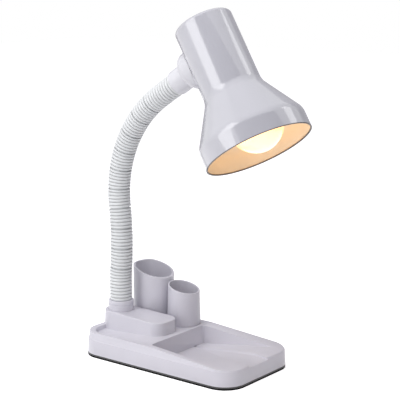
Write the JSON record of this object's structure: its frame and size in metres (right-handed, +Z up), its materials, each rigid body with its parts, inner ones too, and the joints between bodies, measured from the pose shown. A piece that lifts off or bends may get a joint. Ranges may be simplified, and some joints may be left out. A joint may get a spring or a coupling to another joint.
{
  "type": "desk lamp with organiser base",
  "caption": "Gooseneck desk lamp with a bell shade, standing on an oblong organiser base with slant-rimmed pen cups, a pen groove and a ramped open tray.",
  "frame": {"origin": "middle of the flat face that the base rests on", "axes": "+Z up; Y along the base, its front with the tray at -Y and the neck at +Y; pen cups towards +X, pen groove towards -X"},
  "size_m": [0.1304, 0.2587, 0.3773],
  "materials": {
    "white_shell": "satin injection-moulded white plastic with a cool lilac cast",
    "white_sleeve": "semi-gloss white ribbed plastic",
    "shade_enamel": "high-gloss white enamel outside, satin white inside",
    "black_pad": "matt black foam rubber",
    "black_steel": "black painted sheet steel",
    "zinc_steel": "zinc-plated steel",
    "weight_iron": "rough cast iron",
    "black_rubber": "soft black rubber",
    "connector_plastic": "natural white connector plastic",
    "holder_plastic": "heat-resistant white plastic",
    "brass": "drawn brass",
    "bulb_glass": "frosted white glass",
    "bulb_metal": "thin bright aluminium"
  },
  "bodies": {
    "base": {"base_shell": "white_shell", "base_pad": "black_pad", "bottom_plate": "black_steel", "base_screws": "zinc_steel", "ballast_weight": "weight_iron", "cord_inlet": "black_rubber", "terminal_block": "connector_plastic", "pen_cup_small": "white_shell", "pen_cup_large": "white_shell", "neck_collar": "white_shell", "neck_nipple": "zinc_steel", "neck_washer": "zinc_steel", "neck_nut": "zinc_steel", "neck_sleeve_01": "white_sleeve", "neck_core_01": "zinc_steel"},
    "neck_02": {"neck_sleeve_02": "white_sleeve", "neck_core_02": "zinc_steel"},
    "neck_03": {"neck_sleeve_03": "white_sleeve", "neck_core_03": "zinc_steel"},
    "neck_04": {"neck_sleeve_04": "white_sleeve", "neck_core_04": "zinc_steel"},
    "neck_05": {"neck_sleeve_05": "white_sleeve", "neck_core_05": "zinc_steel"},
    "neck_06": {"neck_sleeve_06": "white_sleeve", "neck_core_06": "zinc_steel"},
    "neck_07": {"neck_sleeve_07": "white_sleeve", "neck_core_07": "zinc_steel"},
    "neck_08": {"neck_sleeve_08": "white_sleeve", "neck_core_08": "zinc_steel"},
    "neck_09": {"neck_sleeve_09": "white_sleeve", "neck_core_09": "zinc_steel"},
    "neck_10": {"neck_sleeve_10": "white_sleeve", "neck_core_10": "zinc_steel"},
    "neck_11": {"neck_sleeve_11": "white_sleeve", "neck_core_11": "zinc_steel", "upper_collar": "white_shell", "neck_bush": "zinc_steel"},
    "head": {"swivel_nipple": "zinc_steel", "swivel_disc": "white_shell", "swivel_washer": "zinc_steel", "swivel_nut": "zinc_steel", "shade_shell": "shade_enamel", "holder_bracket": "zinc_steel", "holder_nipple": "zinc_steel", "holder_nut": "zinc_steel", "lampholder_cap": "holder_plastic", "lampholder_body": "holder_plastic", "holder_thread": "brass", "holder_contact": "brass", "bulb_contact": "bulb_metal", "bulb_cap": "bulb_metal", "bulb_globe": "bulb_glass"}
  },
  "joints": [
    {"name": "neck_bend_1", "type": "hinge", "parent": "base", "child": "neck_02", "pos_m": [-0.00845, 0.08334, 0.09167], "axis": [1, 0, 0], "range_deg": [-7.5, 7.5]},
    {"name": "neck_side_1", "type": "hinge", "parent": "neck_02", "child": "neck_03", "pos_m": [-0.00845, 0.08221, 0.11384], "axis": [0, -0.9998, -0.0205], "range_deg": [-7.5, 7.5]},
    {"name": "neck_bend_2", "type": "hinge", "parent": "neck_03", "child": "neck_04", "pos_m": [-0.00845, 0.08243, 0.13603], "axis": [1, 0, 0], "range_deg": [-7.5, 7.5]},
    {"name": "neck_bend_3", "type": "hinge", "parent": "neck_04", "child": "neck_05", "pos_m": [-0.00845, 0.084, 0.15818], "axis": [1, 0, 0], "range_deg": [-7.5, 7.5]},
    {"name": "neck_side_2", "type": "hinge", "parent": "neck_05", "child": "neck_06", "pos_m": [-0.00845, 0.08489, 0.18033], "axis": [0, -0.999, -0.044], "range_deg": [-7.5, 7.5]},
    {"name": "neck_bend_4", "type": "hinge", "parent": "neck_06", "child": "neck_07", "pos_m": [-0.00845, 0.08203, 0.20232], "axis": [1, 0, 0], "range_deg": [-7.5, 7.5]},
    {"name": "neck_bend_5", "type": "hinge", "parent": "neck_07", "child": "neck_08", "pos_m": [-0.00845, 0.07548, 0.2235], "axis": [1, 0, 0], "range_deg": [-7.5, 7.5]},
    {"name": "neck_side_3", "type": "hinge", "parent": "neck_08", "child": "neck_09", "pos_m": [-0.00845, 0.06543, 0.24327], "axis": [0, -0.8499, -0.5269], "range_deg": [-7.5, 7.5]},
    {"name": "neck_bend_6", "type": "hinge", "parent": "neck_09", "child": "neck_10", "pos_m": [-0.00845, 0.05219, 0.26106], "axis": [1, 0, 0], "range_deg": [-7.5, 7.5]},
    {"name": "neck_bend_7", "type": "hinge", "parent": "neck_10", "child": "neck_11", "pos_m": [-0.00845, 0.03615, 0.27637], "axis": [1, 0, 0], "range_deg": [-7.5, 7.5]},
    {"name": "head_swivel", "type": "hinge", "parent": "neck_11", "child": "head", "pos_m": [-0.00845, -0.01322, 0.30937], "axis": [0, -0.8373, 0.5467], "range_deg": [-165, 165]}
  ]
}
